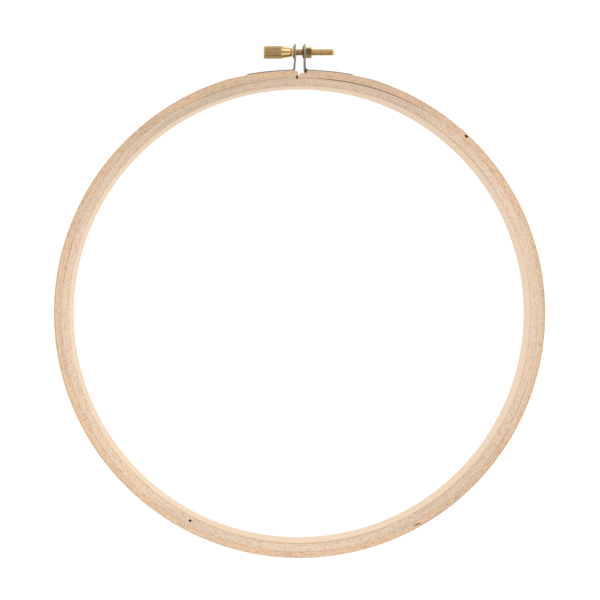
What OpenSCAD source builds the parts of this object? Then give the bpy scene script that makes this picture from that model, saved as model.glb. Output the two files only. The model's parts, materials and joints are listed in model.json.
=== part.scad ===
// Wooden embroidery hoop with a brass clamping screw.
// The hoop lies flat: its axis is +Z, the lower faces of both rings are at Z = 0,
// and the clamp stands out towards +Y with the screw's knurled head at -X.
// All lengths are in millimetres.

/* [Hoop] */
// Diameter at which the two rings meet
hoop_d = 250; // [200:10:300]
// Depth of both rings along the axis of the hoop
ring_h = 16; // [14:1:24]
// Radial thickness of the outer ring
outer_t = 4.2; // [3.8:0.1:5]
// Radial thickness of the inner ring
inner_t = 3.9; // [3:0.1:5]
// Radial gap between the closed outer ring and the inner ring
ring_gap = 0.3; // [0.2:0.05:0.5]
// Chamfer on the outer edges of both rings
edge_chamfer = 0.4; // [0.2:0.1:0.8]

/* [Outer ring ends] */
// How far the planed seat for the brackets lies below the round face at the gap
seat_drop = 1.7; // [1.4:0.1:2.2]
// Angle from the gap at which the planed seat runs out into the round face
seat_reach = 21; // [18:1:24]
// Width of the closed gap at the inner face
gap_in = 0.4; // [0.2:0.1:1]
// Width of the closed gap at the outer face
gap_out = 2.2; // [1.2:0.1:3]
// Length of the step cut in the right end, from the middle of the gap
step_l = 4.1; // [3.5:0.1:6]
// Depth of that step below the seat
step_d = 1.2; // [0.6:0.1:1.3]

/* [Brackets] */
// Thickness of the steel strip
strip_t = 1; // [0.8:0.1:1.2]
// Width of the strip and of its rounded ear
strip_w = 9; // [8:0.5:11]
// Length of a foot, from the outer face of its ear
foot_l = 25.5; // [22:0.5:30]
// Inside radius of the bend between foot and ear
bend_r = 1.2; // [0.8:0.1:2]
// Inner face of the left ear, from the middle of the gap
ear_left = 1.3; // [1.3:0.1:2]
// Inner face of the right ear, from the middle of the gap
ear_right = 2.8; // [2.4:0.1:3]

/* [Screw] */
// Major diameter of the thread
screw_d = 3.5; // [3:0.1:4]
// Height of the screw's axis above the seat at the gap
screw_rise = 11.2; // [9:0.1:14]
// Diameter of the knurled barrel
barrel_d = 6.7; // [6:0.1:8]
// Length of the knurled barrel
barrel_l = 9.7; // [8:0.1:14]
// Length of the smooth taper between barrel and neck
taper_l = 4.6; // [3:0.1:6]
// Diameter at the small end of the taper
taper_d = 4.9; // [4.5:0.1:5.5]
// Diameter of the shoulder that bears on the left ear
shoulder_d = 6.7; // [6:0.1:8]
// Length of the thread beyond the left ear
thread_l = 20.6; // [18:0.1:24]

/* [Nut] */
// Distance across the flats
nut_af = 5.5; // [5.5:0.1:7]
// Thickness of the hexagon
nut_h = 3.2; // [2.4:0.1:4]
// Diameter of the flared collar that holds the nut in its ear
collar_d = 6.4; // [6:0.1:7]
// Thickness of that collar
collar_t = 0.45; // [0.3:0.05:0.6]
// Diameter of the nut's neck inside the ear
neck_d = 5; // [4.6:0.1:5.2]

/* [Tacks] */
// Diameter of a tack's shank
tack_d = 1.1; // [0.8:0.1:1.3]
// Diameter of a tack's head
tack_head_d = 3; // [2.4:0.1:3.6]
// Distance of the near tack from the outer face of the ear
tack_near = 8; // [6:0.5:10]
// Distance of the far tack from the outer face of the ear
tack_far = 18.5; // [15:0.5:20]

/* [Hidden] */
$fn = 96;

// Running clearance of the thread in the nut, on the radius
thread_play = 0.05;
// Clearance of the screw in the left ear, and of the nut's neck in the right one
ear_play = 0.25;
// Play along the axis on each side of the right ear, so that the ear can lean
float_play = 0.15;
// Gap between the screw's shoulder and the left ear
shoulder_gap = 0.1;
// Chamfer on the ends of the barrel, the nut and the screw's tip
metal_chamfer = 0.4;
// Diameter and length of the groove under the shoulder
groove_d = taper_d - 0.7;
groove_l = 0.45;
// Length of the flared part and of the flat part of the shoulder
flare_l = 0.9;
rim_l = 0.4;
// Length of the rounded tip of the thread
tip_l = 1.25;
// Thickness of a tack's head, its depth in the wood and its side clearance
tack_head_t = 0.35;
tack_depth = 1.7;
tack_play = 0.05;
// Overshoot of cutting solids past the faces they cut
over = 5;

meet_r = hoop_d / 2;
outer_r = meet_r + outer_t;
inner_out_r = meet_r - ring_gap;
inner_r = inner_out_r - inner_t;
mid_z = ring_h / 2;

// The seat is an arc of a larger circle that lies seat_drop under the round
// face at the gap and meets that face at seat_reach on either side.
seat_y = outer_r - seat_drop;
seat_cy = (outer_r ^ 2 - seat_y ^ 2) / (2 * (outer_r * cos(seat_reach) - seat_y));
seat_r = seat_y - seat_cy;
screw_y = seat_y + screw_rise;

// Places along the screw's axis
left_ear_x = -ear_left - strip_t;
shoulder_x = left_ear_x - shoulder_gap;
head_x = shoulder_x - rim_l - flare_l - groove_l - taper_l - barrel_l;
tip_x = -ear_left + thread_l;
right_ear_x = ear_right + strip_t;
nut_x = right_ear_x + float_play;
collar_x = ear_right - float_play - collar_t;
bore_r = screw_d / 2 + thread_play;

// Half of a ring's section, chamfered on its outer side
module ring_section(r_in, r_out) {
    polygon([
        [r_in, 0],
        [r_out - edge_chamfer, 0],
        [r_out, edge_chamfer],
        [r_out, ring_h - edge_chamfer],
        [r_out - edge_chamfer, ring_h],
        [r_in, ring_h]
    ]);
}

module whole_ring(r_in, r_out) {
    rotate_extrude($fn = 180)
        ring_section(r_in, r_out);
}

// The round outer ring with its planed seat
module outer_ring_blank() {
    intersection() {
        whole_ring(meet_r, outer_r);
        translate([0, seat_cy, -over])
            cylinder(r = seat_r, h = ring_h + 2 * over, $fn = 180);
    }
}

// Everything on one side of the middle plane, less its half of the tapering gap
module half_space(side) {
    wide = outer_r + over;
    slope = (gap_out - gap_in) / 2 / (seat_y - meet_r);
    translate([0, 0, -over])
        linear_extrude(ring_h + 2 * over)
            polygon([
                [0, -wide],
                [0, 0],
                [side * (gap_in / 2 - slope * over), meet_r - over],
                [side * (gap_out / 2 + slope * over), seat_y + over],
                [side * (gap_out / 2 + slope * over), wide],
                [side * wide, wide],
                [side * wide, -wide]
            ]);
}

// Puts children on the seat at a distance x from the middle plane,
// with their +Z axis square to the seat
module on_seat(x) {
    lean = asin(x / seat_r);
    translate([0, seat_cy, mid_z])
        rotate([0, 0, -lean])
            translate([0, seat_r, 0])
                rotate([-90, 0, 0])
                    children();
}

// Where the tacks stand: side is -1 for the left bracket and 1 for the right
function tack_xs(side) = [
    for (a = [tack_near, tack_far])
        side < 0 ? left_ear_x - a : right_ear_x + a
];

module tack_holes(side) {
    for (x = tack_xs(side))
        on_seat(x)
            translate([0, 0, -tack_depth])
                cylinder(d = tack_d + 2 * tack_play, h = tack_depth + over, $fn = 32);
}

module tack() {
    translate([0, 0, -tack_depth + tack_play])
        cylinder(d = tack_d, h = tack_depth - tack_play + strip_t, $fn = 32);
    translate([0, 0, strip_t])
        cylinder(d1 = tack_head_d, d2 = tack_head_d - 2 * tack_head_t, h = tack_head_t, $fn = 32);
}

module tacks(side) {
    color("gainsboro")
        for (x = tack_xs(side))
            on_seat(x)
                tack();
}

// Outline of a bracket in the XY plane for an ear whose outer face is at x_ear,
// with the foot running to +X
module strip_outline(x_ear) {
    foot_top = seat_cy + sqrt((seat_r + strip_t) ^ 2 - (x_ear + bend_r) ^ 2);
    bend_y = foot_top + bend_r;
    ear_top = screw_y + strip_w / 2;
    intersection() {
        difference() {
            translate([0, seat_cy])
                circle(r = seat_r + strip_t, $fn = 180);
            translate([0, seat_cy])
                circle(r = seat_r, $fn = 180);
        }
        translate([x_ear + bend_r, 0])
            square([foot_l - bend_r, outer_r + over]);
    }
    intersection() {
        translate([x_ear + bend_r, bend_y])
            difference() {
                circle(r = bend_r + strip_t, $fn = 64);
                circle(r = bend_r, $fn = 64);
            }
        translate([x_ear - strip_t, bend_y - bend_r - strip_t])
            square(bend_r + strip_t);
    }
    translate([x_ear - strip_t, bend_y])
        square([strip_t, ear_top - bend_y]);
}

// A bracket on the right of the middle plane, its ear drilled at hole_r
module bracket(x_ear, hole_r) {
    difference() {
        intersection() {
            translate([0, 0, mid_z - strip_w / 2])
                linear_extrude(strip_w)
                    strip_outline(x_ear);
            union() {
                translate([-over, 0, 0])
                    cube([foot_l + x_ear + 2 * over, screw_y, ring_h]);
                translate([-over, screw_y, mid_z])
                    rotate([0, 90, 0])
                        cylinder(d = strip_w, h = x_ear + 2 * over);
            }
        }
        translate([x_ear - strip_t - over, screw_y, mid_z])
            rotate([0, 90, 0])
                cylinder(r = hole_r, h = strip_t + 2 * over);
    }
}

module inner_ring() {
    color("burlywood")
        whole_ring(inner_r, inner_out_r);
}

module outer_ring_left() {
    color("tan")
        difference() {
            intersection() {
                outer_ring_blank();
                half_space(-1);
            }
            tack_holes(-1);
        }
}

module outer_ring_right() {
    color("tan")
        difference() {
            intersection() {
                outer_ring_blank();
                half_space(1);
            }
            translate([-over, seat_y - step_d, -over])
                cube([step_l + over, step_d + over, ring_h + 2 * over]);
            tack_holes(1);
        }
}

module bracket_left() {
    color("lightslategray")
        difference() {
            mirror([1, 0, 0])
                bracket(-left_ear_x, screw_d / 2 + ear_play);
            tack_holes(-1);
        }
}

module bracket_right() {
    color("lightslategray")
        difference() {
            bracket(right_ear_x, neck_d / 2 + ear_play);
            tack_holes(1);
        }
}

module tacks_left() {
    tacks(-1);
}

module tacks_right() {
    tacks(1);
}

// Half of the screw's profile: X is the radius, Y runs along the axis from the head
module screw_profile() {
    barrel_r = barrel_d / 2;
    taper_y = barrel_l + taper_l;
    groove_y = taper_y + groove_l;
    rim_y = groove_y + flare_l;
    end_y = tip_x - head_x;
    polygon([
        [0, 0],
        [barrel_r - metal_chamfer, 0],
        [barrel_r, metal_chamfer],
        [barrel_r, barrel_l],
        [taper_d / 2, taper_y],
        [groove_d / 2, taper_y],
        [groove_d / 2, groove_y],
        [taper_d / 2, groove_y],
        [shoulder_d / 2, rim_y],
        [shoulder_d / 2, rim_y + rim_l],
        [screw_d / 2, rim_y + rim_l],
        [screw_d / 2, end_y - tip_l],
        [screw_d / 2 - metal_chamfer, end_y - metal_chamfer],
        [screw_d / 2 - 2 * metal_chamfer, end_y],
        [0, end_y]
    ]);
}

module clamp_screw() {
    color("goldenrod")
        translate([head_x, screw_y, mid_z])
            rotate([0, 90, 0])
                rotate_extrude()
                    screw_profile();
}

// The hexagon is chamfered on its free side by a cone
module nut_body() {
    corner_r = nut_af / sqrt(3);
    intersection() {
        rotate([0, 0, 30])
            cylinder(r = corner_r, h = nut_h, $fn = 6);
        cylinder(r1 = nut_af / 2 + nut_h, r2 = nut_af / 2, h = nut_h);
    }
}

module hex_nut() {
    color("darkgoldenrod")
        difference() {
            union() {
                translate([nut_x, screw_y, mid_z])
                    rotate([0, 90, 0])
                        nut_body();
                translate([collar_x, screw_y, mid_z])
                    rotate([0, 90, 0])
                        cylinder(d = neck_d, h = nut_x - collar_x + metal_chamfer);
                translate([collar_x, screw_y, mid_z])
                    rotate([0, 90, 0])
                        cylinder(d = collar_d, h = collar_t);
            }
            translate([collar_x - over, screw_y, mid_z])
                rotate([0, 90, 0])
                    cylinder(r = bore_r, h = nut_h + 3 * over);
        }
}

inner_ring();
outer_ring_left();
outer_ring_right();
bracket_left();
bracket_right();
tacks_left();
tacks_right();
clamp_screw();
hex_nut();
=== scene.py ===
"""A wooden embroidery hoop: two nested beech rings, the outer one split and drawn tight by a brass
screw through two steel ears. Shapes are worked out in millimetres, in the CAD model's own frame:
the hoop lies flat with its axis on +Z, and the clamp stands out towards +Y."""

import json
import math

import bmesh
import bpy
import numpy as np
from mathutils import Matrix, Vector


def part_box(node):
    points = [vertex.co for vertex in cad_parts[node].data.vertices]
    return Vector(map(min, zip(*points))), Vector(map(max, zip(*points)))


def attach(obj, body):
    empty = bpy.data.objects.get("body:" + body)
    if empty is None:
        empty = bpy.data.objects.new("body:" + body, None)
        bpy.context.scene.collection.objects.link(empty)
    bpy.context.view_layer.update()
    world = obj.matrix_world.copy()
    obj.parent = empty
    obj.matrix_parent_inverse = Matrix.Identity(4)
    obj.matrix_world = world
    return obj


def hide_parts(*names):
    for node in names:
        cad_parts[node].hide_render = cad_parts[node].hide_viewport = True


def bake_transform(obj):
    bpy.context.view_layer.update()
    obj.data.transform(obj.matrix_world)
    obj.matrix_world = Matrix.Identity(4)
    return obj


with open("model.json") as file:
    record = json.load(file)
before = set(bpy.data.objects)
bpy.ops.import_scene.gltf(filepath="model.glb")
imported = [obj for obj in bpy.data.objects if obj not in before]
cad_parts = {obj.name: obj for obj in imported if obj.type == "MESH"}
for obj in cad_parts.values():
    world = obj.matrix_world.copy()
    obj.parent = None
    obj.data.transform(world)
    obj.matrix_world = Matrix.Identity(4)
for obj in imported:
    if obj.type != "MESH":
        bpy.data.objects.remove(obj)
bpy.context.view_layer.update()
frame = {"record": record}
MM = 0.001

# ---------------------------------------------------------------- sizes from the frame, in mm


def node_box(node):
    low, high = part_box(node)
    return np.array(low) / MM, np.array(high) / MM


_, INNER_HI = node_box("inner_ring")
OUTER_LO, OUTER_HI = node_box("outer_ring_right")
SCREW_LO, SCREW_HI = node_box("clamp_screw")
NUT_LO, NUT_HI = node_box("hex_nut")
LEFT_LO, LEFT_HI = node_box("bracket_left")
RIGHT_LO, RIGHT_HI = node_box("bracket_right")
MOUNTS = {m["name"]: m for m in frame["record"]["mounts"]}

RING_H = INNER_HI[2]
MID_Z = RING_H / 2
INNER_OUT_R = INNER_HI[0]
INNER_R = MOUNTS["work_opening"]["dims"]["r_mm"]
OUTER_R = -OUTER_LO[1]
SEAT_Y = OUTER_HI[1]
SCREW_Y = (SCREW_LO[1] + SCREW_HI[1]) / 2
BARREL_R = (SCREW_HI[2] - SCREW_LO[2]) / 2
STRIP_W = RIGHT_HI[2] - RIGHT_LO[2]
EAR_TOP = RIGHT_HI[1]
EAR_LEFT_X = LEFT_HI[0]
EAR_RIGHT_X = RIGHT_LO[0]

# The seat for the brackets is an arc of a larger circle, which reaches this far round, as in the CAD
SEAT_REACH = math.radians(21)
SEAT_CY = (OUTER_R**2 - SEAT_Y**2) / (2 * (OUTER_R * math.cos(SEAT_REACH) - SEAT_Y))
SEAT_R = SEAT_Y - SEAT_CY

# ---------------------------------------------------------------- shape of the two rings

# The radius where the rings meet, the length round it, and how far the front faces stay below the CAD's
MEET_R = INNER_OUT_R + 0.3
WHOLE_L = 2 * math.pi * MEET_R
FACE_DROP = 0.02
# Rounding of the edges along the joint between the rings, and of all other edges
JOINT_EASE = 0.09
EDGE_EASE = 0.28
# Width of the outer ring's gap at its inner and its outer side, and how far from it the strip leans
GAP_IN = 0.4
GAP_OUT = 2.2
GAP_LEAN_L = 6.0
# The stepped end under the right bracket: how far it reaches from the gap, how much less so on the
# ledge behind it, the radius it leaves, and where the ledge begins as a part of the ring's height
STEP_L = 3.5
LEDGE_L = 1.1
STEP_TOP = SEAT_Y - 1.2
LEDGE_UP = 0.85
# Painted shade on the ledge in the gap under the right bracket's bend: its distance from the gap and its
# half length. Painted shade on the bend's steel: its reach
LEDGE_SHADE_AT = 3.15
LEDGE_SHADE_HALF_L = 0.6
BEND_SHADE_R = 1.1
# Where the rings dip inwards, how far round in degrees, and how deep at their meeting and opening
DIP_AT = 93.0
DIP_RIGHT_W = 22.0
DIP_LEFT_W = 30.0
MEET_DIP = 1.65
FRONT_DIP = 1.35
BACK_DIP = 0.3
# The waves per turn in the rings' unevenness, and where the inner ring's ends butt, in degrees
WAVES = (5, 8, 13, 19, 31, 47, 83, 131)
BUTT_AT = 22.2
# Divisions of a ring's section along its flat faces, its walls and its corners, and of the inner
# ring all round
FACE_N = 8
WALL_N = 10
CORNER_N = 3
ROUND_N = 1100


def dip(theta):
    """From 0 to 1 round the clamp, where both rings are drawn inwards. theta is in degrees."""
    away = (theta - DIP_AT + 180) % 360 - 180
    width = np.where(away < 0, DIP_RIGHT_W, DIP_LEFT_W)
    return np.exp(-((away / width) ** 2))


def near(theta, at, width):
    """From 0 to 1 round an angle, with a soft end, in degrees."""
    away = (theta - at + 180) % 360 - 180
    return np.exp(-((away / width) ** 4))


def wobble(theta, seed):
    """A hand-finished unevenness round the ring, between about -1 and 1."""
    t = np.radians(theta)
    rng = np.random.default_rng(seed)
    total = np.zeros_like(t)
    for waves in WAVES:
        total += np.cos(waves * t + rng.uniform(0, 2 * math.pi)) / waves**0.5
    return total / 1.5


def meeting_radius(theta):
    """Radius of the outer ring's inner face."""
    return MEET_R + 0.15 + 0.15 * near(theta, 225, 60) - MEET_DIP * dip(theta)


def ring_gap(theta):
    """Radial gap between the rings: they touch nearly everywhere, and part a little in four places."""
    parted = near(theta, 73, 13) + 0.4 * near(theta, 108, 11)
    parted += 0.5 * near(theta, 167, 6) + 0.45 * near(theta, 336, 5)
    return 0.03 + 0.36 * parted * (1 + 0.5 * wobble(theta, 41))


def outer_radius(theta):
    """Radius of the outer ring's outer face, with the seat for the brackets."""
    round_r = OUTER_R - 0.34 + 0.3 * np.cos(2 * np.radians(theta))
    off = np.radians(theta - 90)
    seat_r = SEAT_CY * np.cos(off) + np.sqrt(SEAT_R**2 - (SEAT_CY * np.sin(off)) ** 2)
    facing = np.abs((theta - 90 + 180) % 360 - 180) < 40
    return np.where(facing, np.minimum(round_r, seat_r), round_r)


def opening_radius(theta, front):
    """Radius of the inner ring's inner face at its front or back edge."""
    even = INNER_R + 0.1 + 0.3 * np.cos(2 * np.radians(theta))
    return even - (FRONT_DIP if front else BACK_DIP) * dip(theta)


def eased(across, inner, outer):
    """The rounding of a section's edges, which may differ at its inner and outer side."""
    return inner + (outer - inner) * across


def quarter_turn(count):
    """Angles of a quarter turn, in count steps."""
    return [math.pi / 2 * k / count for k in range(count + 1)]


def section_plan():
    """A ring's section as a loop of points. Each is (across, up, across_ease, up_ease): across and up
    run from 0 to 1 over the section, and the ease terms are multiples of the edge rounding."""
    quarter = quarter_turn(CORNER_N)
    face = [k / FACE_N for k in range(1, FACE_N)]
    wall = [k / WALL_N for k in range(1, WALL_N)]
    plan = [(f, 1, 1 - 2 * f, 0) for f in face]
    plan += [(1, 1, math.sin(a) - 1, math.cos(a) - 1) for a in quarter]
    plan += [(1, 1 - f, 0, 2 * f - 1) for f in wall]
    plan += [(1, 0, math.cos(a) - 1, 1 - math.sin(a)) for a in quarter]
    plan += [(1 - f, 0, 2 * f - 1, 0) for f in face]
    plan += [(0, 0, 1 - math.sin(a), 1 - math.cos(a)) for a in quarter]
    plan += [(0, f, 0, 1 - 2 * f) for f in wall]
    plan += [(0, 1, 1 - math.cos(a), math.sin(a) - 1) for a in quarter]
    return np.array(plan, float)


# ---------------------------------------------------------------- meshes


def add_object(name, verts, faces, material, sharp=None, attributes=None):
    """A mesh object from points in millimetres. sharp is the angle in degrees above which an edge
    stays hard; without it every edge is smooth. attributes holds values for each point, by name;
    without them, points that lie on each other are joined."""
    mesh = bpy.data.meshes.new(name)
    mesh.from_pydata((np.asarray(verts, float) * MM).tolist(), [], faces)
    mesh.materials.append(material)
    mesh.polygons.foreach_set("use_smooth", [True] * len(mesh.polygons))
    obj = bpy.data.objects.new(name, mesh)
    bpy.context.scene.collection.objects.link(obj)
    for key, values in (attributes or {}).items():
        write_attribute(mesh, key, values)
    tidy_mesh(mesh, join=attributes is None)
    if sharp is not None:
        mesh.set_sharp_from_angle(angle=math.radians(sharp))
    return obj


def tidy_mesh(mesh, join):
    """Turns every face outwards, after joining points that lie on each other if that is asked."""
    work = bmesh.new()
    work.from_mesh(mesh)
    if join:
        bmesh.ops.remove_doubles(work, verts=work.verts, dist=1e-7)
        bmesh.ops.dissolve_degenerate(work, edges=work.edges, dist=1e-8)
    bmesh.ops.recalc_face_normals(work, faces=work.faces)
    work.to_mesh(mesh)
    work.free()


def write_attribute(mesh, name, values):
    attribute = mesh.attributes.new(name, "FLOAT_VECTOR", "POINT")
    attribute.data.foreach_set("vector", np.asarray(values, np.float32).ravel())


def write_tarnish_and_shade(mesh, values):
    """For the metal materials: how tarnished each point of the brass is, and how much painted shade lies on
    the right bracket's steel under its bend.
    """
    write_attribute(mesh, "tarnish_and_shade", np.stack([values] * 3, -1))


def end_faces(rings, around):
    """The two faces that close a tube at its first and its last ring of points."""
    last = (rings - 1) * around
    return [tuple(range(around)), tuple(range(last, last + around))]


def loop_faces(rings, around, closed_rings=False):
    """Quads of a tube whose point k of ring i has index i * around + k."""
    faces = []
    for i in range(rings if closed_rings else rings - 1):
        a, b = i * around, (i + 1) % rings * around
        for k in range(around):
            n = (k + 1) % around
            faces.append((a + k, a + n, b + n, b + k))
    return faces


def lathe(name, profile, turns, material, bend=None, sharp=35):
    """A solid turned about the screw's axis. profile is a list of (x, radius) from end to end, and
    bend(x, radius, angle) may change a point's radius. Angles are measured from +Z."""
    verts = []
    for x, r in profile:
        for k in range(turns):
            angle = 2 * math.pi * k / turns
            rr = bend(x, r, angle) if bend else r
            verts.append((x, SCREW_Y + rr * math.sin(angle), MID_Z + rr * math.cos(angle)))
    faces = loop_faces(len(profile), turns)
    return add_object(name, verts, faces, material, sharp)


def arc_points(cx, cy, r, start, end, count):
    """Points on an arc in a profile, with angles in degrees."""
    steps = [math.radians(start + (end - start) * k / count) for k in range(count + 1)]
    return [(cx + r * math.cos(a), cy + r * math.sin(a)) for a in steps]


def cut(obj, cutter):
    """Cuts one mesh out of another and removes the cutter."""
    modifier = obj.modifiers.new("cut", "BOOLEAN")
    modifier.operation = "DIFFERENCE"
    modifier.solver = "EXACT"
    modifier.object = cutter
    modifier.material_mode = "TRANSFER"
    bpy.context.view_layer.update()
    graph = bpy.context.evaluated_depsgraph_get()
    old = obj.data
    obj.data = bpy.data.meshes.new_from_object(obj.evaluated_get(graph), depsgraph=graph)
    obj.modifiers.clear()
    bpy.data.meshes.remove(old)
    bpy.data.meshes.remove(cutter.data)


# ---------------------------------------------------------------- node materials


class Nodes:
    """Adds pattern nodes to a node tree one call at a time."""

    def __init__(self, tree):
        self.tree = tree

    def node(self, kind, **inputs):
        made = self.tree.nodes.new(kind)
        for key, value in inputs.items():
            self.feed(made.inputs[key], value)
        return made

    def feed(self, socket, value):
        if isinstance(value, bpy.types.NodeSocket):
            self.tree.links.new(value, socket)
        else:
            socket.default_value = value

    def attribute(self, name):
        made = self.tree.nodes.new("ShaderNodeAttribute")
        made.attribute_name = name
        return made.outputs["Vector"]

    def split(self, vector):
        made = self.node("ShaderNodeSeparateXYZ", Vector=vector)
        return made.outputs[0], made.outputs[1], made.outputs[2]

    def math(self, operation, a, b=0.0, c=0.0):
        made = self.tree.nodes.new("ShaderNodeMath")
        made.operation = operation
        for socket, value in zip(made.inputs, (a, b, c)):
            self.feed(socket, value)
        return made.outputs[0]

    def scaled(self, vector, scale):
        """The vector with each part divided by a pattern's size along it."""
        made = self.tree.nodes.new("ShaderNodeVectorMath")
        made.operation = "MULTIPLY"
        self.feed(made.inputs[0], vector)
        made.inputs[1].default_value = [1 / s for s in scale]
        return made.outputs[0]

    def noise(self, vector, scale, detail, rough):
        """Noise from 0 to 1 whose cells have the given size in the vector's units."""
        made = self.node("ShaderNodeTexNoise", Vector=self.scaled(vector, scale))
        made.inputs["Scale"].default_value = 1.0
        made.inputs["Detail"].default_value = detail
        made.inputs["Roughness"].default_value = rough
        return made.outputs[0]

    def steps(self, value, low, high):
        """0 below low, 1 above high, and smooth between."""
        made = self.tree.nodes.new("ShaderNodeMapRange")
        made.interpolation_type = "SMOOTHSTEP"
        for socket, v in zip(made.inputs, (value, low, high, 0.0, 1.0)):
            self.feed(socket, v)
        return made.outputs[0]

    def window(self, value, low, high, soft):
        """1 between low and high, and 0 outside."""
        rise = self.steps(value, low - soft, low + soft)
        fall = self.steps(value, high + soft, high - soft)
        return self.math("MULTIPLY", rise, fall)

    def mix(self, factor, a, b):
        made = self.tree.nodes.new("ShaderNodeMix")
        made.data_type = "RGBA"
        self.feed(made.inputs[0], factor)
        self.feed(made.inputs[6], a)
        self.feed(made.inputs[7], b)
        return made.outputs[2]

    def tint(self, colour, mask, strength, toward):
        """The colour moved towards another where the mask says, up to a strength."""
        return self.mix(self.math("MULTIPLY", mask, strength), colour, toward)

    def shade(self, colour, factor):
        """The colour brightened or darkened by a factor that comes from nodes."""
        made = self.tree.nodes.new("ShaderNodeVectorMath")
        made.operation = "SCALE"
        self.feed(made.inputs[0], colour)
        self.feed(made.inputs["Scale"], factor)
        return made.outputs[0]


class Shader(Nodes):
    """A Principled material whose colour, roughness and bump come from pattern nodes."""

    def __init__(self, name, **settings):
        self.material = bpy.data.materials.new(name)
        self.material.use_nodes = True
        super().__init__(self.material.node_tree)
        self.principled = self.tree.nodes["Principled BSDF"]
        for key, value in settings.items():
            self.principled.inputs[key.replace("_", " ")].default_value = value

    def finish(self, colour, roughness, height, depth):
        self.feed(self.principled.inputs["Base Color"], colour)
        self.feed(self.principled.inputs["Roughness"], roughness)
        bump = self.node("ShaderNodeBump", Height=height)
        bump.inputs["Distance"].default_value = depth
        self.feed(self.principled.inputs["Normal"], bump.outputs[0])
        return self.material


def tone_round(theta, top_loss, lower_right_loss, left_gain):
    """How the brightness of the wood's flat faces drifts round the ring."""
    drift = 1 - top_loss * near(theta, 95, 52) - lower_right_loss * near(theta, 315, 32)
    return drift + left_gain * near(theta, 212, 60) + 0.012 * wobble(theta, 31)


def linear(value):
    """Linear light from a screen value of 0 to 255."""
    part = value / 255
    return part / 12.92 if part < 0.04045 else ((part + 0.055) / 1.055) ** 2.4


def rgb(red, green, blue):
    """A colour as linear light from screen values of 0 to 255."""
    return (linear(red), linear(green), linear(blue), 1.0)


# The wood's patterns: the size of a cell along, across and up the strip in mm, octaves and roughness
WOOD_NOISES = (
    ((45, 3.0, 7), 2, 0.5),  # broad clouds
    ((90, 0.8, 1.5), 3, 0.6),  # growth bands
    ((3.2, 1.0, 2), 2, 0.5),  # blotches
    ((0.85, 0.7, 1.0), 2, 0.75),  # grit
    ((0.9, 0.24, 0.5), 2, 0.6),  # fine fibres
    ((1.3, 0.42, 0.7), 2, 0.6),  # dark rays
    ((0.8, 0.5, 0.9), 1, 0.5),  # chalky specks
    ((0.5, 3.0, 9), 1, 0.5),  # saw ticks
    ((26, 8, 9), 1, 0.5),  # patches where the saw ticks show
)
DARK_RAY = rgb(188, 138, 100)
CHALK = rgb(246, 228, 206)
# the dark brown of the painted shade in the gap under the right bracket's bend
SHADE_BROWN = rgb(66, 40, 26)
SAPWOOD = rgb(242, 224, 196)
SAPWOOD_TURN = 52


def wood_material(name, face, wall, edge, pink, grey, tick, rim_from, rim_to):
    """Beech seen by its place in the bent strip: 'grain' holds the distance along the strip, the height
    over its inner face and the height over its back, in millimetres. 'side' says how far a point belongs
    to a flat face, how bright the wood is there and how much painted shade it carries. Between rim_from
    and rim_to the face turns browner."""
    s = Shader(name, Specular_IOR_Level=0.25)
    grain = s.attribute("grain")
    along, across, up = s.split(grain)
    on_face, tone, shade_mix = s.split(s.attribute("side"))

    noises = [s.noise(grain, *how) for how in WOOD_NOISES]
    broad, bands, blotches, grit, fine, rays, chalk, saw, saw_patch = noises

    def by_side(on_wall, on_flat):
        """A strength that differs between the strip's walls and its flat faces."""
        return s.math("MULTIPLY_ADD", on_face, on_flat - on_wall, on_wall)

    colour = s.mix(on_face, wall, face)
    # soft growth bands along the strip, then pinkish blotches on the flat faces and greyish ones all over
    colour = s.tint(colour, s.steps(bands, 0.46, 0.66), by_side(0.3, 0.14), edge)
    colour = s.tint(colour, s.steps(blotches, 0.5, 0.68), by_side(0.0, 0.6), pink)
    colour = s.tint(colour, s.steps(broad, 0.45, 0.65), by_side(0.2, 0.4), grey)

    # one arris of the face is browner than its middle, but hardly so where the tone is low
    rim = s.math("MULTIPLY", s.steps(up, RING_H - 0.9, RING_H - 0.5), s.steps(across, rim_from, rim_to))
    rim = s.math("MULTIPLY", rim, s.math("MULTIPLY_ADD", s.steps(rays, 0.3, 0.6), 0.45, 0.35))
    colour = s.tint(colour, rim, s.steps(tone, 0.78, 1.0), edge)

    # saw ticks, grit, dark rays and chalky specks
    ticks = s.math("MULTIPLY", s.steps(saw, 0.5, 0.64), s.steps(saw_patch, 0.5, 0.66))
    ticks = s.math("MULTIPLY", ticks, on_face)
    light = s.math("MULTIPLY_ADD", s.math("SUBTRACT", grit, 0.5), by_side(0.04, 0.99), 1.0)
    light = s.math("MULTIPLY_ADD", s.math("SUBTRACT", fine, 0.5), by_side(0.06, 0.56), light)
    light = s.math("MULTIPLY_ADD", ticks, -tick, light)
    colour = s.shade(colour, s.math("MULTIPLY", light, tone))
    colour = s.tint(colour, s.steps(rays, 0.6, 0.72), by_side(0.03, 0.53), DARK_RAY)
    colour = s.tint(colour, s.steps(chalk, 0.62, 0.74), by_side(0.0, 0.5), CHALK)
    # painted shade: the ledge under the right bracket's bend turns dark brown
    colour = s.mix(shade_mix, colour, SHADE_BROWN)

    rough = s.math("MULTIPLY_ADD", grit, 0.25, 0.52)
    height = s.math("MULTIPLY", grit, by_side(0.15, 0.95))
    height = s.math("MULTIPLY_ADD", fine, 0.35, height)
    height = s.math("MULTIPLY_ADD", ticks, -0.6, height)
    return s, colour, rough, height, (along, across, on_face)


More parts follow.
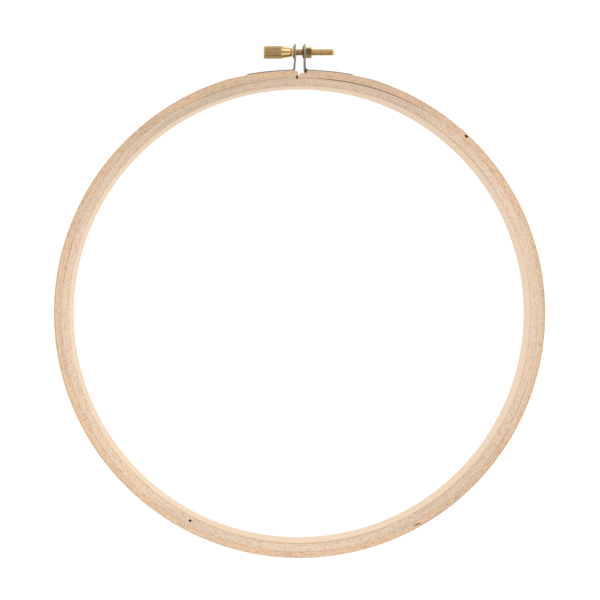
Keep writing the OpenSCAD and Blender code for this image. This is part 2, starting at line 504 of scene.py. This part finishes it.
def outer_wood():
    s, colour, rough, height, place = wood_material(
        "outer_beech",
        face=rgb(249, 213, 177),
        wall=rgb(232, 205, 176),
        edge=rgb(220, 178, 128),
        pink=rgb(220, 168, 138),
        grey=rgb(224, 202, 178),
        tick=0.2,
        rim_from=3.1,
        rim_to=3.6,
    )
    along, across, on_face = place
    # a paler layer of sapwood next to the joint on the right-hand side
    start = math.radians(90 - BUTT_AT) * MEET_R
    stretch = math.radians(SAPWOOD_TURN) * MEET_R
    layer = s.window(along, WHOLE_L - start - stretch, WHOLE_L - start, 0.4)
    layer = s.math("MULTIPLY", layer, s.window(across, -1.0, 1.5, 0.4))
    layer = s.math("MULTIPLY", layer, on_face)
    colour = s.tint(colour, layer, 0.75, SAPWOOD)
    return s.finish(colour, rough, height, 0.00008)


def inner_wood():
    s, colour, rough, height, _ = wood_material(
        "inner_beech",
        face=rgb(255, 227, 199),
        wall=rgb(242, 217, 190),
        edge=rgb(222, 184, 140),
        pink=rgb(228, 186, 158),
        grey=rgb(226, 208, 188),
        tick=0.1,
        rim_from=0.75,
        rim_to=0.15,
    )
    return s.finish(colour, rough, height, 0.00006)


def pit_material():
    """The dark bottom of a pin knot."""
    s = Shader("pin_knot", Roughness=0.9, Specular_IOR_Level=0.1)
    place = s.node("ShaderNodeTexCoord").outputs["Object"]
    spots = s.noise(place, (0.0004, 0.0004, 0.0004), 2, 0.6)
    colour = s.mix(spots, rgb(44, 24, 12), rgb(70, 42, 24))
    return s.finish(colour, s.math("MULTIPLY_ADD", spots, 0.1, 0.85), spots, 0.00005)


def brass_material(name, tarnish):
    """Turned brass: fine lathe rings, light tarnish and grime in the grooves."""
    s = Shader(name, Metallic=1.0)
    place = s.node("ShaderNodeTexCoord").outputs["Object"]
    rings = s.noise(place, (0.00009, 0.004, 0.004), 2, 0.6)
    patches = s.noise(place, (0.0022, 0.0016, 0.0016), 3, 0.6)
    grit = s.noise(place, (0.0003, 0.0003, 0.0003), 2, 0.6)
    deep, _, _ = s.split(s.attribute("tarnish_and_shade"))
    colour = s.mix(s.steps(patches, 0.4, 0.75), rgb(240, 206, 148), rgb(218, 180, 120))
    colour = s.tint(colour, deep, tarnish, rgb(128, 92, 48))
    colour = s.tint(colour, s.steps(grit, 0.6, 0.8), 0.2, rgb(170, 132, 78))
    rough = s.math("MULTIPLY_ADD", patches, 0.12, 0.06)
    rough = s.math("MULTIPLY_ADD", deep, 0.25, rough)
    height = s.math("MULTIPLY_ADD", rings, 0.6, s.math("MULTIPLY", grit, 0.4))
    return s.finish(colour, rough, height, 0.000005)


def steel_material(name, tone):
    """Dull plated strip steel, brushed along its length, with soft grey clouds and dark brown painted
    shade where the 'wear' attribute says so."""
    s = Shader(name, Metallic=1.0)
    place = s.node("ShaderNodeTexCoord").outputs["Object"]
    clouds = s.noise(place, (0.002, 0.002, 0.002), 3, 0.6)
    brushed = s.noise(place, (0.003, 0.003, 0.0001), 2, 0.5)
    grit = s.noise(place, (0.0004, 0.0004, 0.0004), 2, 0.6)
    bend_shade, _, _ = s.split(s.attribute("tarnish_and_shade"))
    dark = tuple(v * 0.7 for v in tone[:3]) + (1.0,)
    colour = s.mix(s.steps(clouds, 0.35, 0.75), tone, dark)
    colour = s.tint(colour, s.steps(grit, 0.62, 0.8), 0.4, rgb(110, 104, 96))
    # painted shade under the right bracket's bend, dark brown
    colour = s.mix(bend_shade, colour, rgb(78, 44, 30))
    rough = s.math("MULTIPLY_ADD", brushed, 0.2, 0.3)
    rough = s.math("MULTIPLY_ADD", bend_shade, 0.3, rough)
    height = s.math("MULTIPLY_ADD", grit, 0.4, s.math("MULTIPLY", brushed, 0.6))
    return s.finish(colour, rough, height, 0.00001)


# ---------------------------------------------------------------- the outer ring


def end_lean(radius, distance):
    """How far a point near the gap shifts along the strip so that the gap's sides lean apart."""
    slope = (GAP_OUT - GAP_IN) / 2 / (SEAT_Y - MEET_R)
    fade = np.clip(1 - (distance - GAP_IN / 2) / GAP_LEAN_L, 0, 1)
    return slope * (radius - MEET_R) * fade


def outer_stations():
    """Distances along the strip from one side of the gap to the other, each with how far the section
    shrinks there for the rounding of the ends. They lie closer together near the gap."""
    start = GAP_IN / 2
    ends = [(start + EDGE_EASE * (1 - math.cos(a)), EDGE_EASE * (1 - math.sin(a))) for a in quarter_turn(4)]
    close = [(start + EDGE_EASE + 0.12 * k, 0.0) for k in range(1, 60)]
    first = close[-1][0]
    rest = WHOLE_L - 2 * first
    count = round(rest / 0.7)
    middle = [(first + rest * k / count, 0.0) for k in range(1, count)]
    half = ends + close
    return np.array(half + middle + [(WHOLE_L - d, shrink) for d, shrink in reversed(half)])


def outer_top(theta, distance, from_right, b):
    """The outer face's radius over a grid of stations and section points."""
    high = outer_radius(theta) - 0.035 - 0.03 * wobble(theta, 12)
    # both ends are a little crushed at their outer corners
    for away in (distance, from_right):
        high = high - 0.22 * np.exp(-(((away - GAP_IN / 2) / 0.4) ** 2))
    high = high[:, None]
    # the right end is stepped down in front of its bracket, with a ledge left lower down
    step_l = STEP_L - LEDGE_L * (b < LEDGE_UP)
    step = 0.5 - 0.5 * np.tanh((from_right[:, None] - step_l) / 0.1)
    step_top = STEP_TOP / np.cos(from_right / MEET_R)[:, None]
    return np.minimum(high, high * (1 - step) + step_top * step)


def outer_ring():
    plan = section_plan()
    distance, shrink = outer_stations().T
    from_right = WHOLE_L - distance
    theta = 90 + np.degrees(distance / MEET_R)
    a, b, ka, kb = (plan[:, i][None, :] for i in range(4))
    low = (meeting_radius(theta) + 0.02 * wobble(theta, 11))[:, None]
    high = outer_top(theta, distance, from_right, b)
    edge = eased(a, JOINT_EASE, EDGE_EASE) * (1 + 0.3 * wobble(theta, 13))[:, None]
    shrink = shrink[:, None]
    radius = low + shrink + a * (high - low - 2 * shrink) + ka * edge
    up = shrink + b * (RING_H - FACE_DROP - 2 * shrink) + kb * edge
    left_lean = end_lean(radius, distance[:, None])
    right_lean = end_lean(radius, from_right[:, None])
    along = distance[:, None] + left_lean - right_lean
    angle = math.pi / 2 + along / MEET_R
    verts = np.stack([radius * np.cos(angle), radius * np.sin(angle), up], -1)
    tone = tone_round(theta, 0.11, 0.02, 0.06)
    # painted shade on the ledge and its rim, in the dark gap under the bend of the bracket
    ledge_shade = np.exp(-(((from_right - LEDGE_SHADE_AT) / LEDGE_SHADE_HALF_L) ** 4))[:, None]
    ledge_shade = ledge_shade * (b > 0.5) * (radius > STEP_TOP - 0.2)
    grain = (along, radius - MEET_R, up)
    return sweep_piece("outer_ring_strip", verts, grain, tone, ledge_shade, plan, outer_wood(), False)


def sweep_piece(name, verts, grain, tone, ledge_shade, plan, material, closed):
    """A ring mesh from its grid of points, with the attributes that the wood material reads."""
    count, around = verts.shape[:2]
    faces = loop_faces(count, around, closed_rings=closed)
    if not closed:
        faces += end_faces(count, around)
    on_face = ((plan[:, 1] == 1) | (plan[:, 1] == 0)) & (np.abs(plan[:, 3]) < 0.2)
    side = np.zeros((count, around, 3))
    side[:, :, 0] = on_face[None, :]
    side[:, :, 1] = 1 + (tone[:, None] - 1) * on_face
    # painted shade under the right bracket's bend, for the wood material
    side[:, :, 2] = ledge_shade
    attributes = {"grain": np.stack(grain, -1), "side": side}
    return add_object(name, verts.reshape(-1, 3), faces, material, attributes=attributes)


# ---------------------------------------------------------------- the inner ring


def inner_ring():
    plan = section_plan()
    theta = BUTT_AT + 360 * np.arange(ROUND_N) / ROUND_N
    outside = meeting_radius(theta) - ring_gap(theta) + 0.015 * wobble(theta, 21)
    front = opening_radius(theta, True) + 0.03 * wobble(theta, 22)
    back = opening_radius(theta, False) + 0.03 * wobble(theta, 23)
    a, b, ka, kb = (plan[:, i][None, :] for i in range(4))
    edge = eased(a, EDGE_EASE, JOINT_EASE) * (1 + 0.3 * wobble(theta, 24))[:, None]
    inside = back[:, None] + (front - back)[:, None] * b
    radius = inside + a * (outside[:, None] - inside) + ka * edge
    up = b * (RING_H - FACE_DROP) + kb * edge
    angle = np.radians(theta)[:, None] + 0 * radius
    verts = np.stack([radius * np.cos(angle), radius * np.sin(angle), up], -1)
    along = np.radians(theta - BUTT_AT)[:, None] * MEET_R + 0 * radius
    tone = tone_round(theta, 0.17, 0.09, 0.015)
    grain = (along, radius - INNER_R, up)
    return sweep_piece("inner_ring_strip", verts, grain, tone, 0.0, plan, inner_wood(), True)


# ---------------------------------------------------------------- pin knots and other small damage


def pit(x, y, long, wide, deep, heading, material):
    """An ellipsoid that cuts a pit into the front face. heading is the long axis's angle in degrees."""
    rings, around = 10, 20
    verts = []
    for i in range(rings + 1):
        polar = math.pi * i / rings
        for k in range(around):
            azimuth = 2 * math.pi * k / around
            flat = math.sin(polar) * (1 + 0.12 * math.sin(3 * azimuth + i) * math.sin(polar))
            dx, dy = long * flat * math.cos(azimuth), wide * flat * math.sin(azimuth)
            verts.append((dx, dy, deep * math.cos(polar)))
    turn = np.array(Matrix.Rotation(math.radians(heading), 3, "Z"))
    verts = np.array(verts) @ turn.T + np.array([x, y, RING_H])
    return add_object("pit_cutter", verts, loop_faces(rings + 1, around), material)


def pit_at(theta, radius, long, wide, deep, heading, material):
    """A pit whose place is given by its angle round the hoop, in degrees, and its radius."""
    turn = math.radians(theta)
    return pit(radius * math.cos(turn), radius * math.sin(turn), long, wide, deep, heading, material)


# ---------------------------------------------------------------- the steel brackets


# Half of the strips' thickness, the rounding of their sheared edges, how far the feet stand off the
# seat, and the length over which the left ear leans
STRIP_HALF = 0.5
STRIP_EASE = 0.14
FOOT_OFF = 0.22
LEAN_L = 5.5


def strip_path(side, ear_x, bend_in, lean):
    """The middle line of a bracket from the end of its foot to the tip of its ear, as points (x, y) with
    x measured away from the gap. ear_x is the ear's inner face and lean how far its foot stands out."""
    foot_end = (RIGHT_HI[0] if side > 0 else -LEFT_LO[0]) - 0.05
    mid_r = SEAT_R + STRIP_HALF + FOOT_OFF
    bend_r = bend_in + STRIP_HALF
    ear_mid = ear_x + STRIP_HALF
    bend_x = ear_mid + lean + bend_r
    foot_y = SEAT_CY + math.sqrt(mid_r**2 - bend_x**2)
    foot = np.linspace(foot_end, bend_x, 41)
    points = [(x, SEAT_CY + math.sqrt(mid_r**2 - x**2)) for x in foot]
    slope = math.degrees(math.asin(bend_x / mid_r))
    base = foot_y + bend_r
    points += arc_points(bend_x, base, bend_r, 270 - slope * 0.6, 180, 12)[1:]
    for y in np.linspace(base, SCREW_Y - 1.5, 25)[1:]:
        t = min((y - base) / LEAN_L, 1)
        points.append((ear_mid + lean * (1 - t * t * (3 - 2 * t)), y))
    points += [(ear_mid, SCREW_Y + (EAR_TOP - SCREW_Y) * math.sin(a)) for a in quarter_turn(14)]
    return np.array(points)


def strip_outline(path):
    """Half of the strip's width and of its thickness along its middle line: the foot's end is rounded
    and thinned, and the ear ends in a half circle round the screw."""
    over_screw = np.clip(path[:, 1] - SCREW_Y, 0, None) * (np.abs(path[:, 0]) < 8)
    half_w = np.sqrt(np.clip((STRIP_W / 2) ** 2 - over_screw**2, 0.35**2, None))
    travelled = np.concatenate([[0], np.cumsum(np.linalg.norm(np.diff(path, axis=0), axis=1))])
    end_round = 1 - np.clip(1 - travelled / 1.2, 0, 1) ** 2
    half_w = half_w - 1.0 * (1 - np.sqrt(np.clip(end_round, 0, 1)))
    half_t = STRIP_HALF * (1 - 0.45 * np.clip(1 - travelled / 0.5, 0, 1) ** 2)
    return half_w, half_t


def strip_loop():
    """The strip's section as points (across, along Z, and the easing of each) in units of its sizes."""
    corner = quarter_turn(3)
    back = corner[::-1]
    corners = ((1, 1, corner), (1, -1, back), (-1, -1, corner), (-1, 1, back))
    return [(sx, sz, math.sin(c) - 1, math.cos(c) - 1) for sx, sz, order in corners for c in order]


def under_bend(points, bend_in):
    """From 0 to 1 where shade is painted on the steel: under the right bracket's bend, facing the stepped
    wood.
    """
    reach = np.hypot(points[:, 0] - (EAR_RIGHT_X + 0.8), points[:, 1] - (SEAT_Y + 0.65))
    from_bend = np.hypot(points[:, 0] - (EAR_RIGHT_X + bend_in + 1), points[:, 1] - (SEAT_Y + 2.95))
    return np.exp(-((reach / BEND_SHADE_R) ** 4)) * (from_bend > bend_in + 0.9)


def bracket(name, side, ear_x, bend_in, lean, hole_r, material):
    """A strip swept along its middle line, with sheared, slightly rounded edges and a round ear."""
    path = strip_path(side, ear_x, bend_in, lean)
    tangent = np.gradient(path, axis=0)
    tangent /= np.linalg.norm(tangent, axis=1)[:, None]
    normal = np.stack([-tangent[:, 1], tangent[:, 0]], -1)
    half_w, half_t = strip_outline(path)
    loop = strip_loop()
    verts = []
    for i, (x, y) in enumerate(path):
        for sx, sz, kx, kz in loop:
            across = sx * (half_t[i] + kx * STRIP_EASE)
            px, py = x + normal[i, 0] * across, y + normal[i, 1] * across
            verts.append((side * px, py, MID_Z + sz * (half_w[i] + kz * STRIP_EASE)))
    count, around = len(path), len(loop)
    faces = loop_faces(count, around) + end_faces(count, around)
    obj = add_object(name, verts, faces, material, 40)
    cut(obj, hole_cutter(side * (ear_x + STRIP_HALF), hole_r, material))
    # painted shade on the steel under the bend, where it faces the stepped wood
    write_tarnish_and_shade(obj.data, under_bend(points_of(obj.data), bend_in))
    return obj


def hole_cutter(x, radius, material):
    """A drill for an ear, with a slight chamfer at both faces."""
    rise = 0.12
    face = x - STRIP_HALF
    profile = [(x - 2, 0), (x - 2, radius + rise), (face - rise, radius + rise), (face + rise, radius)]
    profile += [(2 * x - px, pr) for px, pr in reversed(profile)]
    return lathe("hole_cutter", profile, 48, material)


def tack(name, side, distance, material):
    """A tack with a low domed head, standing square to the seat."""
    head_r, shank_r, crown = 1.48, 0.5, 0.17
    profile = [(0, -1.6), (shank_r * 0.5, -1.45), (shank_r, -0.9), (shank_r, 1.0), (head_r - 0.15, 1.0)]
    profile += [(head_r, 1.08), (head_r - 0.03, 1.16)]
    dome = np.linspace(0.35, 1.57, 7)
    profile += [(head_r * math.cos(a), 1.16 + crown * math.sin(a)) for a in dome]
    around = 28
    lean = math.asin(distance / SEAT_R)
    verts = []
    for r, h in profile:
        for k in range(around):
            azimuth = 2 * math.pi * k / around
            x, y = r * math.cos(azimuth), SEAT_R + h
            out = x * math.cos(lean) + y * math.sin(lean)
            up = SEAT_CY + y * math.cos(lean) - x * math.sin(lean)
            verts.append((side * out, up, MID_Z + r * math.sin(azimuth)))
    return add_object(name, verts, loop_faces(len(profile), around), material, 35)


# ---------------------------------------------------------------- the brass screw and its nut

PITCH = 0.6
THREAD_R = 1.75
THREAD_DEPTH = 0.24
KNURLS = 24
KNURL_DEPTH = 0.26
# Lengths along the screw from the left ear towards the head, and the radius at the taper's thin end
SHOULDER_OFF = 1.1
RIM_L = 0.4
FLARE_L = 0.9
GROOVE_L = 0.45
TAPER_L = 4.6
TAPER_R = 2.48
GROOVE_R = TAPER_R - 0.4
# Rounding of the barrel's edge, and how far the taper starts below the barrel
BARREL_EASE = 0.3
TAPER_DROP = 0.06
# Length of the thread's rounded tip, and the depth of its groove at each step of a turn
TIP_L = 1.4
GROOVE_STEPS = (0.0, 0.0, 0.15, 0.65, 1.0, 0.65, 0.15, 0.0)
# The nut: its bore, its neck in the ear, its collar, and where its hexagon starts from the ear
NUT_BORE = 1.8
NECK_R = 2.48
COLLAR_R = 3.18
HEX_OFF = 1.15


def barrel_rows(head_x, taper_x):
    """The barrel's profile, from a shallow dimple in its end to the start of the taper."""
    edge = BARREL_R - BARREL_EASE
    rows = [(head_x, 0.0), (head_x + 0.12, 0.35), (head_x + 0.12, 0.9), (head_x, 1.15), (head_x, edge)]
    for a in np.linspace(0.25, 1.57, 5):
        rows.append((head_x + BARREL_EASE * (1 - math.cos(a)), edge + BARREL_EASE * math.sin(a)))
    rows += [(x, BARREL_R) for x in np.linspace(head_x + 0.8, taper_x - 0.35, 16)]
    return rows + [(taper_x - 0.15, BARREL_R - 0.03), (taper_x, BARREL_R - TAPER_DROP)]


def neck_rows(taper_x, groove_x):
    """The profile of the taper and of the groove after it."""
    wide = BARREL_R - TAPER_DROP
    rows = []
    for t in np.linspace(0.08, 1.0, 14):
        rows.append((taper_x + (groove_x - taper_x) * t, wide + (TAPER_R - wide) * t**0.92))
    rows += [(groove_x + 0.06, TAPER_R - 0.06), (groove_x + 0.1, GROOVE_R + 0.08)]
    rows += [(groove_x + 0.17, GROOVE_R), (groove_x + 0.36, GROOVE_R)]
    return rows + [(groove_x + 0.45, GROOVE_R + 0.12), (groove_x + 0.5, TAPER_R - 0.12)]


def shoulder_rows(groove_x, rim_x, shoulder_x, tip_x):
    """The profile of the flare, the rim and the shoulder, and of a core inside the thread."""
    grow = BARREL_R - TAPER_R + 0.06
    rows = []
    for t in np.linspace(0.1, 1.0, 8):
        rows.append((groove_x + 0.5 + 0.8 * t, TAPER_R - 0.1 + grow * t**1.5))
    rows += [(rim_x + 0.08, BARREL_R - 0.01), (rim_x + 0.28, BARREL_R - 0.02)]
    rows += [(shoulder_x, BARREL_R - 0.14), (shoulder_x, THREAD_R - 0.05)]
    rows += [(shoulder_x + 0.05, THREAD_R - THREAD_DEPTH * 0.5)]
    rows += [(x, THREAD_R - THREAD_DEPTH - 0.02) for x in (shoulder_x + 0.2, tip_x - 0.6)]
    return rows + [(tip_x - 0.5, 0.0)]


def screw():
    """The turned screw: knurled barrel, smooth taper, groove, flared shoulder and threaded shaft."""
    head_x, tip_x = SCREW_LO[0], SCREW_HI[0]
    shoulder_x = EAR_LEFT_X - SHOULDER_OFF
    rim_x = shoulder_x - RIM_L
    groove_x = rim_x - FLARE_L - GROOVE_L
    taper_x = groove_x - TAPER_L
    rows = barrel_rows(head_x, taper_x) + neck_rows(taper_x, groove_x)
    rows += shoulder_rows(groove_x, rim_x, shoulder_x, tip_x)
    first, last = head_x + 0.2, taper_x - 0.02

    def knurl(x, r, angle):
        if r < BARREL_R - 0.2:
            return r
        on = min(max((x - first) / 0.35, 0), 1) * min(max((last - x) / 0.3, 0), 1)
        wave = abs(math.sin(KNURLS * angle / 2))
        return r - KNURL_DEPTH * on * (1 - wave) ** 1.3

    body = lathe("clamp_screw_turned", rows, KNURLS * 8, brass_material("brass_screw", 0.75), knurl, 50)
    depth = BARREL_R - radius_of(body.data)
    x = points_of(body.data)[:, 0]
    in_knurl = (x > first) & (x < last)
    in_groove = (x > groove_x + 0.03) & (x < groove_x + 0.5)
    tarnish_and_shade = np.where(in_knurl, np.clip(depth / KNURL_DEPTH, 0, 1), 0) + 0.8 * in_groove
    write_tarnish_and_shade(body.data, np.clip(tarnish_and_shade, 0, 1))
    return [body, thread(shoulder_x + 0.05, tip_x)]


def points_of(mesh):
    return np.array([v.co for v in mesh.vertices]) / MM


def radius_of(mesh):
    p = points_of(mesh)
    return np.hypot(p[:, 1] - SCREW_Y, p[:, 2] - MID_Z)


def shaft_radius(x, end):
    """The outside of the shaft, which rounds off at its tip."""
    t = min(max((x - (end - TIP_L)) / TIP_L, 0), 1)
    return THREAD_R * max(1 - t**2.6, 0) ** 0.5


def thread_faces(around, total, per_turn):
    """Quads of the thread's sheet, whose last line joins its first one turn further on."""
    wide = total + 1
    faces = []
    for i in range(around - 1):
        for k in range(total):
            a, b = i * wide + k, (i + 1) * wide + k
            faces.append((a, a + 1, b + 1, b))
    last = (around - 1) * wide
    for k in range(total - per_turn):
        faces.append((last + k, last + k + 1, k + per_turn + 1, k + per_turn))
    return faces


def thread(start, end):
    """The thread as one sheet whose lines follow the helix, closed at its tip by a dome."""
    around, per_turn = 40, len(GROOVE_STEPS)
    total = (int((end - start) / PITCH) + 3) * per_turn
    verts = []
    for i in range(around):
        angle = 2 * math.pi * i / around
        for k in range(total + 1):
            x = start + PITCH * (k / per_turn - 1 + i / around)
            groove = THREAD_DEPTH * GROOVE_STEPS[k % per_turn]
            x = min(max(x, start), end)
            if x in (start, end):
                groove = THREAD_DEPTH * 0.5
            fade = min(1, max(0, (end - 0.5 - x) / 0.6))
            r = shaft_radius(x, end) - groove * fade
            verts.append((x, SCREW_Y + r * math.sin(angle), MID_Z + r * math.cos(angle)))
    faces = thread_faces(around, total, per_turn)
    obj = add_object("clamp_screw_thread", verts, faces, brass_material("brass_thread", 0.85), 60)
    r, x = radius_of(obj.data), points_of(obj.data)[:, 0]
    write_tarnish_and_shade(obj.data, np.clip((THREAD_R - r) / THREAD_DEPTH, 0, 1) * (x < end - TIP_L))
    return obj


def nut_rows(hex_x, end_x):
    """The nut's closed profile, and which of its rows belong to the hexagon. The hexagon's rows have
    a radius past its corners, because hexagon_radius gives them theirs."""
    edge_x = NUT_LO[0]
    rows = [(edge_x + 0.12, NUT_BORE + 0.02), (edge_x, NUT_BORE + 0.25), (edge_x, COLLAR_R - 0.35)]
    rows += [(edge_x + 0.06, COLLAR_R - 0.14), (edge_x + 0.2, COLLAR_R), (edge_x + 0.36, COLLAR_R - 0.02)]
    rows += [(edge_x + 0.45, COLLAR_R - 0.14), (edge_x + 0.45, NECK_R + 0.06), (edge_x + 0.5, NECK_R)]
    rows += [(hex_x, NECK_R)]
    first = len(rows)
    rows += [(hex_x + t, 4.0) for t in (0, 0.02, 0.3, 1.0, 2.2)]
    rows += [(end_x - t, 4.0) for t in (0.62, 0.5, 0.4, 0.3, 0.2, 0.1, 0.04, 0)]
    last = len(rows)
    rows += [(end_x, NUT_BORE + 0.2), (end_x - 0.2, NUT_BORE), (edge_x + 0.3, NUT_BORE)]
    return rows, range(first, last)


def hexagon_radius(x, angle, hex_x, end_x):
    """The hexagon with its corners slightly worn, turned down to a cone at both of its ends."""
    corner = min((NUT_HI[1] - NUT_LO[1]) / 2, COLLAR_R)
    flat = corner * math.cos(math.pi / 6)
    sector = (angle + math.pi / 6) % (math.pi / 3) - math.pi / 6
    side = flat / math.cos(sector)
    side -= 0.05 * (side / corner) ** 24
    free_end = flat - 0.12 + (end_x - x) * 1.75
    ear_end = flat - 0.05 + (x - hex_x) * 6
    return min(side, free_end, ear_end)


def nut():
    """The hexagon with its neck and the collar flared inside the right ear, in one piece."""
    hex_x, end_x = EAR_RIGHT_X + HEX_OFF, NUT_HI[0]
    rows, on_hexagon = nut_rows(hex_x, end_x)
    around = 96
    verts = []
    for i, (x, r) in enumerate(rows):
        for k in range(around):
            angle = 2 * math.pi * k / around
            rr = hexagon_radius(x, angle, hex_x, end_x) if i in on_hexagon else r
            verts.append((x, SCREW_Y + rr * math.sin(angle), MID_Z + rr * math.cos(angle)))
    faces = loop_faces(len(rows), around, closed_rings=True)
    obj = add_object("hex_nut_turned", verts, faces, brass_material("brass_nut", 0.8), 28)
    r, x = radius_of(obj.data), points_of(obj.data)[:, 0]
    tarnish_and_shade = 0.55 * (x < hex_x + 0.01) + 0.5 * (r < NECK_R)
    write_tarnish_and_shade(obj.data, np.clip(tarnish_and_shade, 0, 1))
    return obj


# ---------------------------------------------------------------- studio


def add_camera():
    """The camera looks almost straight down from above the hoop, a little off its axis."""
    place, aim = Vector((-0.0275, 0.0018, 0.626)), Vector((-0.0009, 0.0067, 0.016))
    upward = Vector((0.0113, 0.9999, 0))
    back = (place - aim).normalized()
    right = upward.cross(back).normalized()
    top = back.cross(right)
    data = bpy.data.cameras.new("camera")
    data.lens = 69.8
    data.sensor_width = 36
    data.clip_start = 0.02
    data.clip_end = 50
    camera = bpy.data.objects.new("camera", data)
    camera.matrix_world = Matrix((right, top, back)).transposed().to_4x4()
    camera.location = place
    bpy.context.scene.collection.objects.link(camera)
    bpy.context.scene.camera = camera


# The floor's half width and how far it lies below the hoop, in metres
FLOOR_HALF = 24.0
FLOOR_DROP = 0.0003


def add_floor():
    """A pale floor. It glows a little so that it comes out as white as the photo's background."""
    material = bpy.data.materials.new("pale_floor")
    material.use_nodes = True
    principled = material.node_tree.nodes["Principled BSDF"]
    principled.inputs["Base Color"].default_value = (0.12, 0.12, 0.12, 1)
    principled.inputs["Roughness"].default_value = 0.9
    principled.inputs["Specular IOR Level"].default_value = 0.0
    principled.inputs["Emission Color"].default_value = (1, 1, 1, 1)
    principled.inputs["Emission Strength"].default_value = 0.97
    mesh = bpy.data.meshes.new("floor")
    half = FLOOR_HALF
    corners = [(-half, -half, 0), (half, -half, 0), (half, half, 0), (-half, half, 0)]
    mesh.from_pydata(corners, [], [(0, 1, 2, 3)])
    mesh.materials.append(material)
    floor = bpy.data.objects.new("floor", mesh)
    floor.location.z = -FLOOR_DROP
    bpy.context.scene.collection.objects.link(floor)


def add_area(name, place, size, power):
    """A rectangular lamp that faces the hoop."""
    data = bpy.data.lights.new(name, "AREA")
    data.shape = "RECTANGLE"
    data.size, data.size_y = size
    data.energy = power
    light = bpy.data.objects.new(name, data)
    light.location = place
    light.rotation_euler = (-Vector(place)).to_track_quat("-Z", "Y").to_euler()
    bpy.context.scene.collection.objects.link(light)


def add_world():
    """A white studio dome: dimmer overhead, where the camera hangs, and low down towards -Y, with a
    dark seam between two lights towards +Y, and slightly brighter on the upper right."""
    world = bpy.data.worlds.new("studio")
    bpy.context.scene.world = world
    world.use_nodes = True
    s = Nodes(world.node_tree)
    toward = s.node("ShaderNodeTexCoord").outputs["Generated"]
    x, y, z = s.split(toward)
    overhead = s.steps(z, 0.85, 0.93)
    lean = s.math("ARCTAN2", y, z)
    seam = s.window(lean, 1.06, 1.34, 0.05)
    seam = s.math("MULTIPLY", seam, s.window(x, -0.2, 0.75, 0.1))
    light = s.math("MULTIPLY_ADD", s.math("ADD", x, y), 0.07, 1.0)
    light = s.math("MULTIPLY_ADD", overhead, -0.86, light)
    light = s.math("MULTIPLY_ADD", seam, -0.75, light)
    low = s.math("MULTIPLY", s.steps(z, 0.34, 0.2), s.steps(y, -0.3, -0.6))
    light = s.math("MULTIPLY_ADD", low, -0.6, light)
    background = world.node_tree.nodes["Background"]
    s.feed(background.inputs["Color"], s.shade((1.0, 1.0, 1.0), light))
    background.inputs["Strength"].default_value = 1.0


def add_studio():
    add_camera()
    add_floor()
    add_world()
    add_area("key", (1.1, 1.0, 1.3), (2.0, 1.6), 5.5)
    bpy.context.scene.view_settings.view_transform = "Standard"


# ---------------------------------------------------------------- the object

add_studio()

hoop = outer_ring()
inner = inner_ring()
dark = pit_material()
# two pin knots, a scratch along the strip, and a slit at the end of the gap that reaches both rings
cut(hoop, pit_at(46.35, 127.6, long=0.95, wide=0.5, deep=1.6, heading=136.35, material=dark))
cut(inner, pit_at(-118.93, 123.11, long=0.55, wide=0.5, deep=1.2, heading=0, material=dark))
cut(hoop, pit_at(-62.1, 126.8, long=1.9, wide=0.16, deep=0.3, heading=21.9, material=dark))
cut(hoop, pit(-1.19, 123.95, long=0.4, wide=0.8, deep=2.2, heading=-12, material=dark))
cut(inner, pit(-1.25, 123.3, long=0.3, wide=0.3, deep=0.8, heading=-12, material=dark))

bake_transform(hoop)
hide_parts("outer_ring_left", "outer_ring_right")
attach(inner, "inner_ring")
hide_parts("inner_ring")

STEEL = steel_material("plated_strip", rgb(178, 174, 167))
TACK_STEEL = steel_material("tack_steel", rgb(196, 194, 190))
for label, side, body, ear_x, bend_in, lean, hole in (
    ("left", -1, "outer_ring", -EAR_LEFT_X, 1.0, 0.45, 2.0),
    ("right", 1, "opening_half", EAR_RIGHT_X, 1.8, 0.0, 2.75),
):
    strip = bracket(f"bracket_{label}_strip", side, ear_x, bend_in, lean, hole, STEEL)
    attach(strip, body)
    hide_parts(f"bracket_{label}")
    for place, from_ear in (("near", 8), ("far", 18.5)):
        nail = tack(f"tack_{label}_{place}", side, ear_x + 1 + from_ear, TACK_STEEL)
        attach(nail, body)
        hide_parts(f"tacks_{label}")

for turned in screw():
    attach(turned, "clamp_screw")
    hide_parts("clamp_screw")
hexagon = nut()
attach(hexagon, "hex_nut")
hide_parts("hex_nut")
